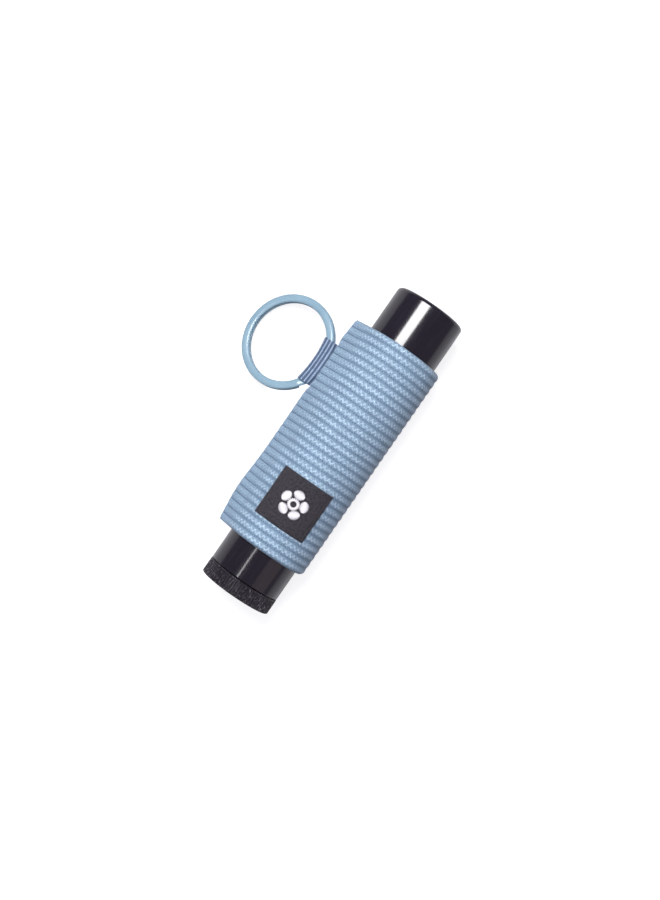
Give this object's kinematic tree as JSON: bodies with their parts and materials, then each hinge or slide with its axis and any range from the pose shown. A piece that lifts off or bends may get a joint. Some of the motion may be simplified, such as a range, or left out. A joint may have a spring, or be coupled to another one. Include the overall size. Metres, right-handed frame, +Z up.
{
  "type": "keychain lip balm holder",
  "caption": "Twist-up lip balm stick held in a ribbed woven elastic sleeve, with a sewn label and a split key ring on a webbing tab.",
  "frame": {"origin": "on the surface that the object lies on, under the middle of its bounding box", "axes": "+X along the balm stick from the dial to the cap, +Y towards the key ring, +Z up out of the face with the label"},
  "size_m": [0.0716, 0.0398, 0.0195],
  "materials": {
    "black_gloss": "moulded polypropylene, smooth gloss, near black",
    "black_dial": "moulded plastic with fine grip ribs, near black",
    "white_moulding": "natural white moulding",
    "balm_wax": "cream wax balm",
    "blue_elastic": "ribbed woven elastic, steel blue with lighter flecks",
    "blue_thread": "twisted sewing thread",
    "black_weave": "fine woven label tape, black",
    "white_thread": "embroidery thread, white",
    "black_thread": "sewing thread, black",
    "blue_webbing": "ribbed webbing, darker blue",
    "blue_enamel": "spring steel with smooth light-blue enamel"
  },
  "bodies": {
    "sleeve": {"elastic_sleeve": "blue_elastic", "side_seam_thread": "blue_thread", "label_patch": "black_weave", "label_emblem": "white_thread", "label_stitching": "black_thread"},
    "stick": {"barrel": "black_gloss"},
    "cap": {"cap": "black_gloss"},
    "dial": {"dial_spindle": "black_dial"},
    "elevator": {"elevator_cup": "white_moulding", "balm": "balm_wax"},
    "tab": {"ring_tab": "blue_webbing"},
    "ring": {"key_ring": "blue_enamel"}
  },
  "joints": [
    {"name": "stick_slide", "type": "slide", "parent": "sleeve", "child": "stick", "axis": [1, 0, 0], "range_m": [-0.062, 0.062]},
    {"name": "cap_pull", "type": "slide", "parent": "stick", "child": "cap", "axis": [1, 0, 0], "range_m": [0, 0.03]},
    {"name": "dial_turn", "type": "hinge", "parent": "stick", "child": "dial", "pos_m": [-0.034, -0.01046, 0.00925], "axis": [-1, 0, 0], "range_deg": [0, 2461]},
    {"name": "elevator_rise", "type": "slide", "parent": "stick", "child": "elevator", "axis": [1, 0, 0], "range_m": [0, 0.041]},
    {"name": "tab_flop", "type": "hinge", "parent": "sleeve", "child": "tab", "pos_m": [0.0133, 0.00084, 0.00925], "axis": [1, 0, 0], "range_deg": [-34, 82]},
    {"name": "ring_spin", "type": "hinge", "parent": "tab", "child": "ring", "pos_m": [0.0133, 0.0102, 0.00507], "axis": [0, 0.4081, 0.913], "continuous": true}
  ],
  "couplings": [
    {"joint": "dial_turn", "follows": "elevator_rise", "rad_per_m": 1047.2}
  ]
}
